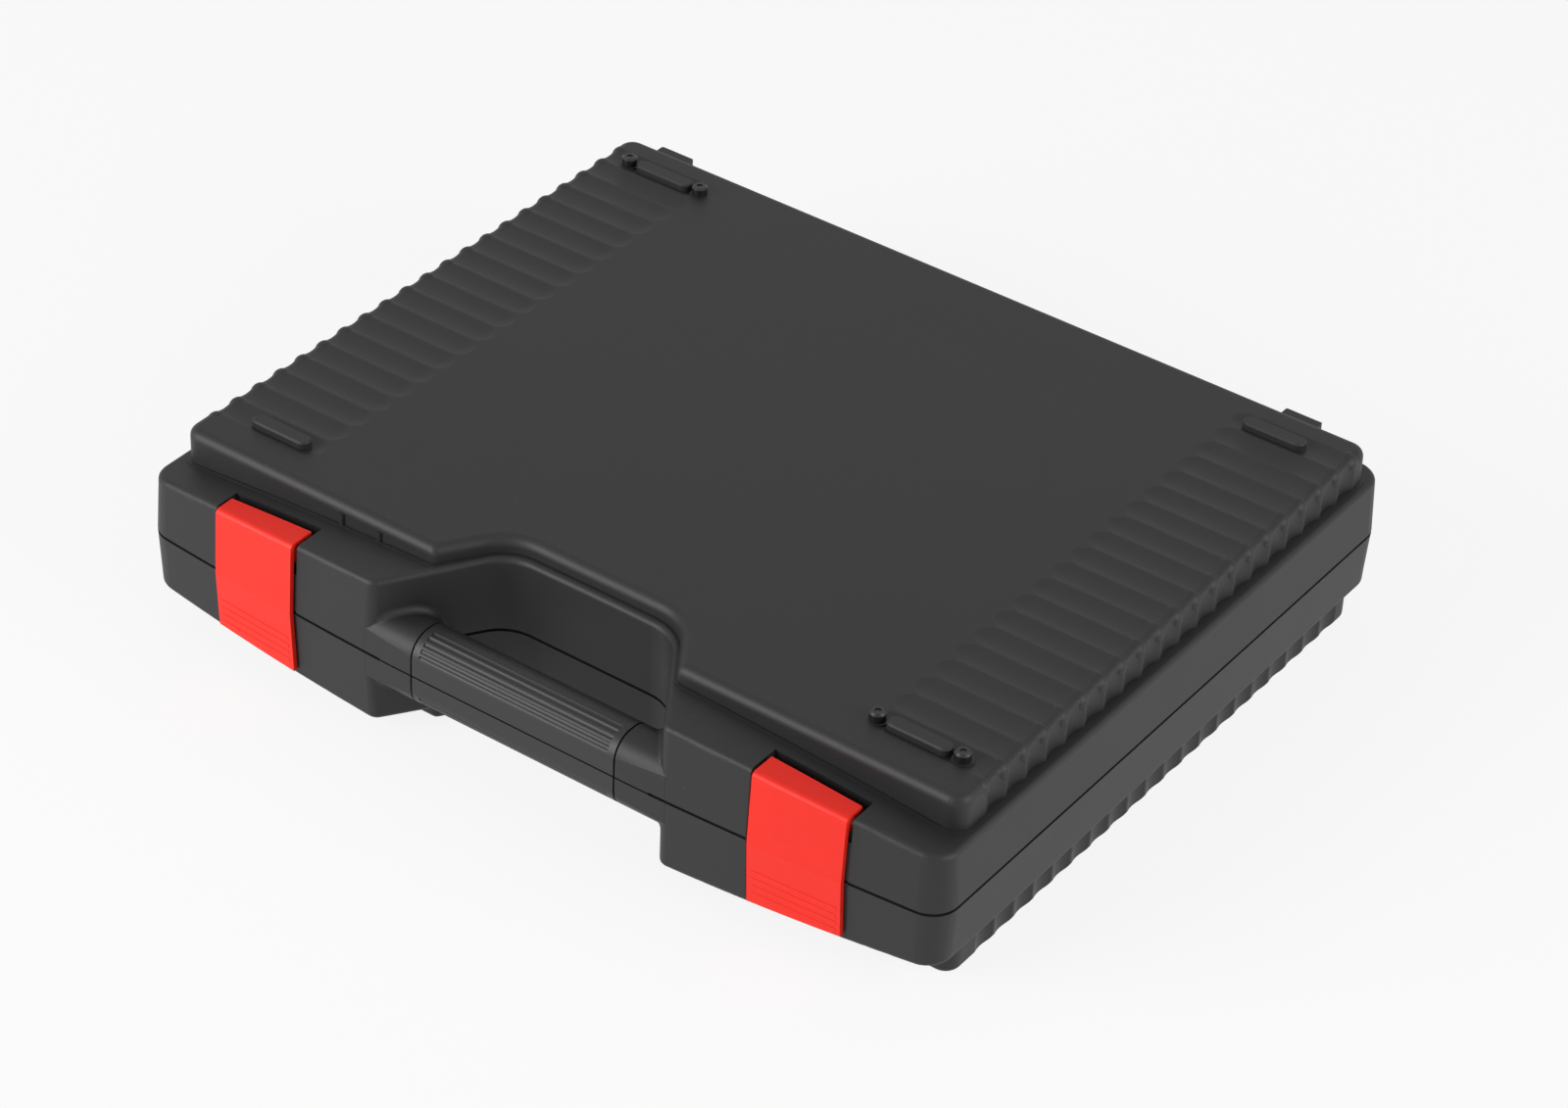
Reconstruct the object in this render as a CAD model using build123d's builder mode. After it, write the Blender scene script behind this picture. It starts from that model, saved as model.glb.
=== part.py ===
from build123d import *
import os
from math import cos, radians, sin, sqrt, tan

# A moulded knife case that lies flat on its base. The lid and the base are near mirror images about the
# parting plane. +Z is up, -Y is the front with the handle, and the origin is the middle of the footprint.

# Overall size
case_width = 394.0
case_depth = 333.0
case_height = 85.6
sweep_radius = 2100.0
corner_radius = 12.0
draft = 3.0
wall = 3.2

# Raised panel of each half, and the ledge round it
ledge_drop = 7.2
panel_side_inset = 5.5
panel_front_inset = 27.0
panel_rear_inset = 9.6
panel_corner = 7.0
panel_round = 4.2
base_panel_round = 2.6
ledge_round = 2.4
plinth_width = 1.5
plinth_height = 0.4
front_pad_x = -97.3
front_pad_spacing = 19.4
front_pad_radius = 1.2
front_pad_below_top = 4.5

# Crests at both sides, the troughs between them across the lid, and the flutes down the side walls
crest_pitch = 13.45
crest_count = 21
crest_row_shift = 6.0
crest_length = 60.8
trough_width = 12.6
trough_depth = 0.9
knob_stand = 0.35
flute_width = 12.4
flute_depth = 1.6
flute_wall = 2.3

# Finger opening behind the handle
recess_depth = 50.4
recess_back_half = 40.3
recess_front_half = 72.5
recess_corner = 19.0
recess_front_round = 5.0
recess_front_lead = 1.5
panel_notch_gap = 3.5
panel_notch_round = 3.0

# Handle
grip_depth = 22.6
grip_height = 34.2
grip_corner = 10.0
grip_front_inset = 0.9
grip_half_length = 50.3
grip_cover = 2.6
ring_gap = 0.8
grip_flute_radius = 1.5
grip_flute_depth = 0.45
grip_flute_count = 5
grip_flute_first = 95.0
grip_flute_span = 66.0
arm_flush = 0.02

# Joint between the two rims
reveal = 1.4
handle_gap = 0.8
lip_inset = 1.4
lip_height = 2.0
skirt_width = 1.1
rim_clearance = 0.1

# Stacking bars, pegs and the sockets that take them
stack_side_inset = 39.8
stack_rear_y = 132.2
stack_front_y = -123.1
bar_length = 29.5
bar_width = 7.0
bar_height = 3.0
bar_chamfer = 0.7
peg_offset = 19.4
peg_diameter = 6.8
peg_height = 4.0
peg_stem = 3.6
peg_stem_short = 0.2
peg_chamfer = 0.8
peg_dimple = 0.5
peg_pad = 1.1
socket_clearance = 0.8
socket_wall = 2.4
socket_depth = peg_height + socket_clearance

# Blocks on the rear ledge
ledge_block_shift = -6.9
ledge_block_width = 17.4
ledge_block_below_top = 4.5
ledge_block_rear_inset = 2.2
ledge_block_round = 0.8

# Latches
latch_side_inset = 62.8
latch_width = 41.8
latch_stand = 1.9
latch_back = 0.3
latch_end = 3.2
latch_flange = 1.6
latch_flange_stand = 0.5
latch_flange_depth = 11.0
latch_bevel = 2.4
latch_grip_ribs = 4
latch_grip_pitch = 3.6
latch_grip_stand = 0.15
latch_grip_root = 0.4
latch_grip_inset = 2.0
latch_grip_end_gap = 1.0
pivot_behind_front = 6.4
pivot_below_ledge = 5.5
barrel_radius = 3.6
pin_radius = 1.5
pin_clearance = 0.05
seat_clearance = 0.02
pin_seat = 4.0
pocket_side_gap = 1.7
pocket_depth = 13.0
pocket_length = 15.7
pocket_wall = 2.5
channel_depth = 0.6

# Catch between each latch and the base
catch_width = 28.0
catch_side_gap = 2.0
catch_recess_depth = 2.6
catch_recess_top = 8.0
catch_recess_height = 12.0
catch_bar_drop = 11.0
catch_bar_height = 2.5
catch_bar_depth = 1.0
catch_clearance = 0.3
catch_pad = 1.6

# Hinges
hinge_side_inset = 34.0
leaf_width = 44.0
leaf_height = 22.0
leaf_thickness = 2.4
leaf_gap = 0.05
knuckle_radius = 4.2
knuckle_length = 15.6
knuckle_gap = 0.4
axis_behind_wall = 5.2
lid_stop_angle = 110.0
stop_clearance = 0.3
stop_land = 1.0
heel_height = 6.0
web_height = 14.0
outer_web_height = 9.0
knuckle_relief = 0.6
rivet_radius = 1.6
rivet_head_radius = 3.2
rivet_head = 1.2
rivet_spacing = 28.0
rivet_height = 13.0

# Foam
foam_clearance = 0.3
foam_side_gap = 6.5
foam_recess_gap = 1.0
foam_top_below = 2.0
insert_thickness = 15.0
floor_sheet = 6.0
lid_foam_gap = 1.5
lid_foam_slab = 16.0
crate_pitch = 31.0
crate_columns = 11
crate_rows = 9
crate_edge_gap = 1.0
crate_base_radius = 14.0
crate_tip_radius = 6.0

# Knife pockets: name, middle x, row y, handle length and width, blade length, heel width, tip width
pocket_rows = [
    ("chef", 0.0, 122.0, 128.0, 30.0, 208.0, 46.0, 8.0),
    ("bread", 0.0, 72.0, 124.0, 28.0, 212.0, 32.0, 24.0),
    ("carving", 0.0, 28.0, 122.0, 28.0, 196.0, 30.0, 6.0),
    ("steel", 0.0, -12.0, 116.0, 28.0, 210.0, 15.0, 15.0),
    ("utility", 0.0, -52.0, 112.0, 26.0, 140.0, 26.0, 6.0),
    ("paring", 0.0, -92.0, 104.0, 24.0, 92.0, 20.0, 5.0),
]
handle_pocket_round = 9.0
blade_straight = 0.6
finger_room = 4.0
pocket_overlap = 4.0

# Worked out from the sizes above
half_width = case_width / 2
parting = case_height / 2
hinge_reach = axis_behind_wall + knuckle_radius
front_y = -(case_depth + hinge_reach + grip_front_inset) / 2
rear_y = front_y + case_depth
hinge_y = rear_y + axis_behind_wall
panel_half = half_width - panel_side_inset
latch_x = half_width - latch_side_inset
hinge_x = half_width - hinge_side_inset
stack_x = half_width - stack_side_inset
trough_inner_x = half_width - crest_length
panel_front_y = front_y + panel_front_inset
panel_rear_y = rear_y - panel_rear_inset
recess_back_y = front_y + recess_depth
recess_slope = (recess_front_half - recess_back_half) / (recess_depth - recess_front_lead)
grip_y = front_y + grip_front_inset + grip_depth / 2
handle_reach = recess_front_half + 2 * recess_front_round
well_side = flute_wall + flute_depth
parting_plane = Plane.XY.offset(parting)
on_base = (Align.CENTER, Align.CENTER, Align.MIN)
under_top = (Align.CENTER, Align.CENTER, Align.MAX)
tall = 2 * case_height
crown_overreach = 2 * wall + barrel_radius
foam_top = parting - foam_top_below
insert_bottom = foam_top - insert_thickness
floor_bottom = insert_bottom - foam_clearance - floor_sheet


def bow(x):
    """How far the front face and the ledge fall back at x."""
    return sweep_radius - sqrt(sweep_radius**2 - x**2)


def front_at(x):
    return front_y + bow(x)


def ledge_at(x):
    return case_height - ledge_drop - bow(x)


def rim_outline(grow=0.0):
    """Outline of the shells at the parting plane, with the bowed front."""
    side = half_width
    with BuildSketch() as rim:
        with BuildLine():
            Line((side, front_at(side)), (side, rear_y))
            Line((side, rear_y), (-side, rear_y))
            Line((-side, rear_y), (-side, front_at(side)))
            ThreePointArc((-side, front_at(side)), (0, front_y), (side, front_at(side)))
        make_face()
        fillet(rim.vertices(), corner_radius)
        if grow != 0.0:
            offset(amount=grow, kind=Kind.ARC)
    return rim.sketch


def recess_outline(grow=0.0):
    """Finger opening behind the handle, open past the front."""
    reach = 2 * recess_depth
    wide = recess_back_half + recess_slope * reach
    with BuildSketch() as recess:
        with BuildLine():
            Polyline(
                (-recess_back_half, recess_back_y),
                (recess_back_half, recess_back_y),
                (wide, recess_back_y - reach),
                (-wide, recess_back_y - reach),
                close=True,
            )
        make_face()
        fillet(recess.vertices().group_by(Axis.Y)[-1], recess_corner)
        if grow != 0.0:
            offset(amount=grow, kind=Kind.ARC)
    return recess.sketch


def panel_outline(inset=0.0, side_inset=0.0, notch_round=0.0):
    """Outline of the raised panel, parallel to the finger opening at the front."""
    side = panel_half - inset - side_inset
    front = panel_front_y + inset
    rear = panel_rear_y - inset
    notch_reach = recess_front_half + panel_notch_gap
    with BuildSketch() as panel:
        with BuildLine():
            Polyline((side, front), (side, rear), (-side, rear), (-side, front), close=True)
        make_face()
        fillet(panel.vertices(), panel_corner)
        add(recess_outline(panel_notch_gap + inset), mode=Mode.SUBTRACT)
        if notch_round > 0.0:
            corners = panel.vertices().group_by(Axis.Y)[0].filter_by(lambda v: abs(v.X) < notch_reach)
            fillet(corners, notch_round)
    return panel.sketch


def shell_outline(inset=0.0):
    """Outline of the shells with the finger opening taken out."""
    with BuildSketch() as shell:
        add(rim_outline(-inset))
        add(recess_outline(inset), mode=Mode.SUBTRACT)
    return shell.sketch


def crown_block(drop=0.0):
    """Everything from the parting plane up to the crowned ledge surface, lowered by drop."""
    wide = half_width + crown_overreach
    top = ledge_at(0) - drop
    edge = ledge_at(wide) - drop
    with BuildPart() as block:
        with BuildSketch(Plane.XZ):
            with BuildLine():
                ThreePointArc((-wide, edge), (0, top), (wide, edge))
                Polyline((wide, edge), (wide, parting), (-wide, parting), (-wide, edge))
            make_face()
        extrude(amount=case_depth, both=True)
    return block.part


def band_block(grow=0.0, drop=0.0):
    """Solid band of the upper half: the drafted outline under the crowned ledge."""
    crown = crown_block(drop)
    with BuildPart() as block:
        with BuildSketch(parting_plane):
            add(rim_outline(grow))
        extrude(amount=parting, taper=draft)
        add(crown, mode=Mode.INTERSECT)
    return block.part


def boxed(low, high):
    """Plain box between two corners."""
    with BuildPart() as block:
        with BuildSketch(Plane.XY.offset(low[2])):
            with Locations(((low[0] + high[0]) / 2, (low[1] + high[1]) / 2)):
                Rectangle(high[0] - low[0], high[1] - low[1])
        extrude(amount=high[2] - low[2])
    return block.part


def skin_patch(outer, inner, low, high, drop=0.0):
    """Piece of the upper band's skin between two offsets of its outside, cut to a box."""
    window = boxed(low, high)
    outside = band_block(outer, drop)
    inside = band_block(inner, -wall)
    with BuildPart() as patch:
        add(outside)
        add(window, mode=Mode.INTERSECT)
        add(inside, mode=Mode.SUBTRACT)
    return patch.part


def flipped(piece):
    """The same piece on the base: mirrored about the parting plane."""
    return piece.mirror(parting_plane)


def groove_radius(width, depth):
    """Radius of a shallow round groove of this width and depth."""
    return (width**2 / 4 + depth**2) / (2 * depth)


def crest_rows():
    """Where the crests stand along a side."""
    first = crest_row_shift - (crest_count // 2) * crest_pitch
    return [first + n * crest_pitch for n in range(crest_count)]


def groove_rows():
    """Where the troughs and flutes lie, halfway between the crests."""
    return [y + crest_pitch / 2 for y in crest_rows()[:-1]]


def panel_block(edge_round):
    """Raised panel with its rounded top edge and the flutes down its side walls."""
    flute_radius = groove_radius(flute_width, flute_depth)
    flute_x = panel_half + flute_radius - flute_depth
    with BuildPart() as panel:
        with BuildSketch(parting_plane):
            add(panel_outline(notch_round=panel_notch_round))
        extrude(amount=parting)
        top = panel.faces().sort_by(Axis.Z)[-1]
        fillet(top.edges(), edge_round)
        with BuildSketch(parting_plane):
            with Locations(*[(s * flute_x, y) for s in (-1, 1) for y in groove_rows()]):
                Circle(flute_radius)
        extrude(amount=parting, mode=Mode.SUBTRACT)
    return panel.part


def trough():
    """Space of one trough at y = 0 on the right: across the panel's top and over its rounded edge."""
    radius = groove_radius(trough_width, trough_depth)
    turn_x = panel_half - panel_round
    turn_z = case_height - panel_round
    groove_z = case_height + radius - trough_depth
    start_x = trough_inner_x + trough_width / 2
    half_lane = (trough_width + crest_pitch) / 4
    lane = boxed((0, -half_lane, parting), (case_width, half_lane, case_height + wall))
    with BuildPart() as groove:
        with BuildSketch(Plane.YZ.offset(turn_x)):
            with Locations((0, groove_z)):
                Circle(radius)
        revolve(axis=Axis((turn_x, 0, turn_z), (0, 1, 0)), revolution_arc=90)
        with BuildSketch(Plane.YZ.offset(start_x)):
            with Locations((0, groove_z)):
                Circle(radius)
        extrude(amount=turn_x - start_x)
        with Locations((start_x, 0, groove_z)):
            Sphere(radius)
        add(lane, mode=Mode.INTERSECT)
    return groove.part


def lid_panel():
    """The lid's panel, with a trough between every two crests and a knob at each crest's outer end."""
    plain = panel_block(panel_round)
    one = trough()
    right = [one.moved(Location((0, y, 0))) for y in groove_rows()]
    knobs = [(s * (panel_half - panel_round), y, case_height - panel_round)
             for s in (-1, 1) for y in crest_rows()]
    with BuildPart() as panel:
        add(plain)
        add(right + mirrored(right), mode=Mode.SUBTRACT)
        with Locations(*knobs):
            Sphere(panel_round + knob_stand)
    return panel.part


def mirrored(pieces):
    """The same pieces on the left."""
    return [piece.mirror(Plane.YZ) for piece in pieces]


def handle_section(shrink=0.0):
    """Rounded section of the handle, drawn on a YZ plane."""
    with Locations((grip_y, parting)):
        RectangleRounded(grip_depth - 2 * shrink, grip_height - 2 * shrink, grip_corner - shrink)


def handle_bar():
    """Solid handle of both halves: two full arms flush with the body, and a thinner core under the grip."""
    arm_length = handle_reach - grip_half_length - ring_gap / 2
    limit = band_block(-arm_flush)
    with BuildPart() as arms:
        for side in (-1, 1):
            start = side * (grip_half_length + ring_gap / 2)
            with BuildSketch(Plane.YZ.offset(start)):
                handle_section()
            extrude(amount=side * arm_length)
        add(limit, mode=Mode.INTERSECT)
        with BuildSketch():
            add(recess_outline(wall / 2))
        extrude(amount=tall, mode=Mode.INTERSECT)
        with BuildSketch(Plane.YZ.offset(-grip_half_length - wall)):
            handle_section(grip_cover)
        extrude(amount=2 * (grip_half_length + wall))
        split(bisect_by=parting_plane, keep=Keep.TOP)
    return arms.part


def cavity_block():
    """Hollow of the upper half."""
    band = band_block(-wall, wall)
    with BuildPart() as hollow:
        add(band)
        with BuildSketch(parting_plane):
            add(recess_outline(wall))
        extrude(amount=tall, mode=Mode.SUBTRACT)
        with BuildSketch(parting_plane):
            add(panel_outline(wall, side_inset=well_side - wall))
        extrude(amount=parting - wall)
    return hollow.part


def ledge_block(x):
    """Block on the rear ledge beside a hinge."""
    half = ledge_block_width / 2
    low = (x - half, panel_rear_y - wall, parting + wall)
    high = (x + half, rear_y - ledge_block_rear_inset, case_height - ledge_block_below_top)
    with BuildPart() as block:
        add(boxed(low, high))
        fillet(block.edges().filter_by(Axis.Z).group_by(Axis.Y)[-1], ledge_block_round)
    return block.part


def panel_plinth():
    """Low step round the panel's foot, and two small pads on its front wall at the left."""
    crown = crown_block(-plinth_height)
    spots = [(front_pad_x + t * front_pad_spacing / 2, panel_front_y) for t in (-1, 1)]
    with BuildPart() as plinth:
        with BuildSketch(parting_plane):
            add(panel_outline(-plinth_width))
        extrude(amount=parting)
        add(crown, mode=Mode.INTERSECT)
        with BuildSketch(parting_plane):
            with Locations(*spots):
                Circle(front_pad_radius)
        extrude(amount=parting - front_pad_below_top)
    return plinth.part


def upper_half(panel):
    """What the lid and the base share, standing on the parting plane, with the panel of either."""
    band = band_block()
    plinth = panel_plinth()
    bar = handle_bar()
    hollow = cavity_block()
    blocks = [ledge_block(s * hinge_x + ledge_block_shift) for s in (-1, 1)]
    channel = latch_channel()
    with BuildPart() as half:
        add(band)
        with BuildSketch(parting_plane):
            add(recess_outline())
        extrude(amount=tall, mode=Mode.SUBTRACT)
        lips = half.edges().filter_by(
            lambda e: abs(abs(e.center().X) - recess_front_half) < recess_front_round / 2
            and e.center().Y < front_y + recess_front_round
            and e.length > parting / 3)
        fillet(lips, recess_front_round)
        fillet(half.faces().sort_by(Axis.Z)[-1].edges(), ledge_round)
        add([panel, plinth] + blocks)
        add(hollow, mode=Mode.SUBTRACT)
        add(bar)
        add([channel, *mirrored([channel])], mode=Mode.SUBTRACT)
        with BuildSketch(parting_plane):
            add(rim_outline(wall))
        extrude(amount=handle_gap / 2, mode=Mode.SUBTRACT)
        with BuildSketch(parting_plane):
            add(rim_outline(wall))
            add(recess_outline(-recess_front_round), mode=Mode.SUBTRACT)
        extrude(amount=reveal / 2, mode=Mode.SUBTRACT)
    return half.part


def latch_channel():
    """Shallow channel in the right front face that the latch lies in, open at its end."""
    half = latch_width / 2 + pocket_side_gap
    low = (latch_x - half, front_y - latch_stand - wall, parting)
    high = (latch_x + half, panel_front_y, case_height)
    return skin_patch(latch_stand + wall, -channel_depth, low, high, drop=-wall)


def rim_ring(outer, inner, low, high):
    """Ring that follows the rim between two insets."""
    with BuildPart() as ring:
        with BuildSketch(Plane.XY.offset(low)):
            add(shell_outline(outer))
            add(shell_outline(inner), mode=Mode.SUBTRACT)
        extrude(amount=high - low)
    return ring.part


def latch_window(extra=0.0):
    """X range of the right latch, or of its pocket."""
    half = latch_width / 2 + extra
    return latch_x - half, latch_x + half


def latch_pocket(grow=0.0):
    """Space in the lid that the right latch's head turns in."""
    left, right = latch_window(pocket_side_gap + grow)
    floor = ledge_at(latch_x) - pocket_depth - min(grow, pocket_wall)
    rear = front_at(latch_x) + pocket_length + min(grow, pocket_wall)
    return boxed((left, front_y - wall, floor), (right, rear, case_height))


def latch_pin(length, radius):
    """Round bar along the right latch's pivot."""
    with BuildPart() as pin:
        with BuildSketch(Plane.YZ.offset(latch_x - length / 2)):
            with Locations((pivot_y, pivot_z)):
                Circle(radius)
        extrude(amount=length)
    return pin.part


def stacking_bar():
    """Bar at the origin, standing on z = 0."""
    with BuildPart() as bar:
        with BuildSketch(Plane.XY.offset(-wall / 2)):
            SlotOverall(bar_length, bar_width)
        extrude(amount=bar_height + wall / 2)
        chamfer(bar.faces().sort_by(Axis.Z)[-1].edges(), bar_chamfer)
    return bar.part


def stacking_peg():
    """Round peg at the origin, with its stem below z = 0."""
    with BuildPart() as peg:
        Cylinder(peg_diameter / 2, peg_height, align=on_base)
        chamfer(peg.faces().sort_by(Axis.Z)[-1].edges(), peg_chamfer)
        with BuildSketch(peg.faces().sort_by(Axis.Z)[-1]):
            Circle(peg_diameter / 5)
        extrude(amount=-peg_dimple, mode=Mode.SUBTRACT)
        with BuildSketch(Plane.XY.offset(peg_stem_short - wall)):
            Circle(peg_stem / 2)
        extrude(amount=wall)
    return peg.part


def stack_spots():
    return [(s * stack_x, y) for s in (-1, 1) for y in (stack_front_y, stack_rear_y)]


def peg_spots():
    rear = [(-stack_x + s * peg_offset, stack_rear_y) for s in (-1, 1)]
    front = [(stack_x + s * peg_offset, stack_front_y) for s in (-1, 1)]
    return rear + front


def rivet_spots(x_side):
    return [x_side * hinge_x + s * rivet_spacing / 2 for s in (-1, 1)]


def rivet_bore(x, z, radius, low, high):
    """Round bar along Y at the rear wall, from low to high behind it."""
    with BuildPart() as bore:
        with BuildSketch(Plane(origin=(x, rear_y + low, z), z_dir=(0, 1, 0))):
            Circle(radius)
        extrude(amount=high - low)
    return bore.part


def rivet_holes(z):
    """Holes through a rear wall for the rivets of both hinges."""
    spots = rivet_spots(-1) + rivet_spots(1)
    return [rivet_bore(x, z, rivet_radius + pin_clearance, -3 * wall, wall) for x in spots]


def make_lid_shell():
    half = upper_half(lid_panel())
    inside = band_block(-wall / 2, wall / 2)
    with BuildPart() as pocket_case:
        add(latch_pocket(grow=pin_seat))
        add(inside, mode=Mode.INTERSECT)
    pocket = latch_pocket()
    seat = latch_pin(latch_width + 2 * pocket_side_gap + 2 * pin_seat, pin_radius + seat_clearance)
    rabbet = rim_ring(skirt_width, wall + pocket_wall, parting, parting + lip_height + rim_clearance)
    bar = stacking_bar()
    bars = [bar.moved(Location((x, y, case_height))) for x, y in stack_spots()]
    cuts = [pocket, seat, *mirrored([pocket, seat]), rabbet, *rivet_holes(parting + rivet_height)]
    with BuildPart() as lid:
        add(half)
        add(bars + [pocket_case.part, *mirrored([pocket_case.part])])
        with Locations(*[(x, y, case_height) for x, y in peg_spots()]):
            Cylinder(peg_diameter / 2 + peg_pad, wall, align=under_top)
        add(cuts, mode=Mode.SUBTRACT)
        with Locations(*[(x, y, case_height) for x, y in peg_spots()]):
            Cylinder(peg_stem / 2 + pin_clearance, 3 * wall, mode=Mode.SUBTRACT)
            Cylinder(peg_diameter / 2 + rim_clearance, peg_height, align=on_base, mode=Mode.SUBTRACT)
    return lid.part


def catch_patch(outer, inner, width, top, height):
    """Patch of the base's front skin behind the right latch, counted down from the parting plane."""
    low = (latch_x - width / 2, front_y - wall, parting + top)
    high = (latch_x + width / 2, front_y + 2 * corner_radius, parting + top + height)
    return flipped(skin_patch(outer, inner, low, high))


def make_base_shell():
    half = upper_half(panel_block(base_panel_round))
    lip = rim_ring(lip_inset, wall, parting - 2 * wall, parting + lip_height)
    pad = catch_patch(-wall / 2, -(wall + catch_pad), catch_width + 2 * pin_seat,
                      catch_recess_top - wall, catch_recess_height + 2 * wall)
    recess = catch_patch(wall, -catch_recess_depth, catch_width, catch_recess_top, catch_recess_height)
    bar_face = catch_recess_depth - catch_bar_depth
    bar = catch_patch(-bar_face, -(wall + catch_pad / 2), catch_width + pin_seat,
                      catch_bar_drop, catch_bar_height)
    boss_grow = 2 * (socket_clearance + socket_wall)
    peg_span = 2 * peg_offset + peg_diameter
    with BuildPart() as base:
        add(flipped(half))
        add([pad, *mirrored([pad]), lip])
        with BuildSketch(Plane.XY.offset(wall / 2)):
            with Locations(*stack_spots()):
                SlotOverall(peg_span + boss_grow, bar_width + boss_grow)
        extrude(amount=socket_depth + socket_wall - wall / 2)
        with BuildSketch(Plane.XY):
            with Locations(*stack_spots()):
                SlotOverall(peg_span + 2 * socket_clearance, bar_width + 2 * socket_clearance)
        extrude(amount=socket_depth, mode=Mode.SUBTRACT)
        add([recess, *mirrored([recess]), *rivet_holes(parting - rivet_height)], mode=Mode.SUBTRACT)
        add([bar, *mirrored([bar])])
    return base.part


def make_grip():
    """Cover of the upper handle half, with flutes along its upper front and top."""
    corner_y = grip_y - grip_depth / 2 + grip_corner
    corner_z = parting + grip_height / 2 - grip_corner
    reach = grip_corner + grip_flute_radius - grip_flute_depth
    length = 2 * grip_half_length - ring_gap
    step = grip_flute_span / (grip_flute_count - 1)
    turns = [grip_flute_first + n * step for n in range(grip_flute_count)]
    spots = [(corner_y + reach * cos(radians(a)), corner_z + reach * sin(radians(a))) for a in turns]
    with BuildPart() as grip:
        with BuildSketch(Plane.YZ.offset(-length / 2)):
            with Locations((grip_y, parting)):
                RectangleRounded(grip_depth, grip_height, grip_corner)
        extrude(amount=length)
        with BuildSketch(Plane.YZ.offset(-length / 2)):
            with Locations((grip_y, parting)):
                inner = grip_cover - pin_clearance
                RectangleRounded(grip_depth - 2 * inner, grip_height - 2 * inner, grip_corner - inner)
        extrude(amount=length, mode=Mode.SUBTRACT)
        with BuildSketch(Plane.YZ.offset(-length / 2 + wall)):
            with Locations(*spots):
                Circle(grip_flute_radius)
        extrude(amount=length - 2 * wall, mode=Mode.SUBTRACT)
        split(bisect_by=Plane.XY.offset(parting + handle_gap / 2), keep=Keep.TOP)
    return grip.part


def make_latch():
    """Right latch: a plate over the joint, a top flange in the ledge and a barrel on the pin."""
    left, right = latch_window()
    rear = front_at(latch_x) + latch_flange_depth
    window = boxed((left, front_y - 2 * wall, 0), (right, rear, tall))
    outer = band_block(latch_stand, -latch_flange_stand)
    inner = band_block(-latch_back, latch_flange)
    lower_outer = band_block(latch_stand, latch_end)
    lower_inner = band_block(-latch_back, -wall)
    web_box = boxed((left, front_y - wall, pivot_z - barrel_radius / 2), (right, pivot_y, case_height))
    nose_top = catch_bar_drop + catch_bar_height + catch_clearance
    nose_tip = catch_recess_depth - catch_bar_depth - catch_clearance
    nose_width = catch_width - 2 * catch_side_gap
    nose = catch_patch(-latch_back / 2, -nose_tip, nose_width, nose_top, catch_bar_height)
    ridge_span = latch_grip_ribs * latch_grip_pitch
    first_ridge = ledge_at(latch_x) - latch_end - parting - ridge_span - latch_grip_end_gap
    ridge_skin = catch_patch(latch_stand + latch_grip_stand, latch_stand - latch_grip_root,
                             latch_width - 2 * latch_grip_inset, first_ridge, ridge_span)
    with BuildPart() as ridges:
        add(ridge_skin)
        for n in range(latch_grip_ribs):
            top = parting - first_ridge - n * latch_grip_pitch
            low = (left, front_y - 4 * wall, top - latch_grip_pitch)
            add(boxed(low, (right, rear, top - latch_grip_pitch / 2)), mode=Mode.SUBTRACT)
    with BuildPart() as web:
        add(web_box)
        add(outer, mode=Mode.INTERSECT)
    with BuildPart() as lower:
        add(lower_outer)
        add(window, mode=Mode.INTERSECT)
        add(lower_inner, mode=Mode.SUBTRACT)
    with BuildPart() as latch:
        add(outer)
        add(window, mode=Mode.INTERSECT)
        add(inner, mode=Mode.SUBTRACT)
        add(web.part)
        fold = latch.edges().filter_by(lambda e: e.length > latch_width - latch_bevel)
        fillet(sorted(fold, key=lambda e: e.center().Z - e.center().Y)[-1], latch_bevel)
        add(flipped(lower.part))
        add(latch_pin(latch_width, barrel_radius))
        add(nose)
        add(ridges.part)
        add(latch_pin(2 * latch_width, pin_radius + pin_clearance), mode=Mode.SUBTRACT)
    return latch.part


def knuckle(x_low, x_high, radius):
    with BuildPart() as roll:
        with BuildSketch(Plane.YZ.offset(x_low)):
            with Locations((hinge_y, parting)):
                Circle(radius)
        extrude(amount=x_high - x_low)
    return roll.part


def web_between(x_low, x_high, points):
    """Block between a leaf's plate and its knuckle; points are (y, z) from the hinge axis."""
    corners = [(hinge_y + y, parting + z) for y, z in points]
    with BuildPart() as web:
        with BuildSketch(Plane.YZ.offset(x_low)):
            with BuildLine():
                Polyline(*corners, close=True)
            make_face()
        extrude(amount=x_high - x_low)
    return web.part


def leaf_plate():
    """Plate on the right of the lid's rear wall, parallel to the drafted wall."""
    half = leaf_width / 2
    low = (hinge_x - half, rear_y - 2 * wall, parting + reveal / 2)
    high = (hinge_x + half, rear_y + 2 * wall, parting + leaf_height)
    return skin_patch(leaf_gap + leaf_thickness, leaf_gap, low, high)


def leaf_holes(z):
    return [rivet_bore(x, z, rivet_radius + pin_clearance, -wall, 2 * wall) for x in rivet_spots(1)]


def hinge_sections():
    """X ranges of the middle knuckle and of the two outer ones."""
    inner = knuckle_length / 2
    outer = leaf_width / 2
    middle = (hinge_x - inner, hinge_x + inner)
    left = (hinge_x - outer, hinge_x - inner - knuckle_gap)
    right = (hinge_x + inner + knuckle_gap, hinge_x + outer)
    return middle, left, right


def web_points(way, height):
    plate = -axis_behind_wall + leaf_gap + leaf_thickness / 2
    top = plate - height * tan(radians(draft))
    return [(plate, way * reveal / 2), (top, way * height), (knuckle_radius, way * heel_height),
            (knuckle_radius, 0), (0, 0), (0, way * reveal / 2)]


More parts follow.
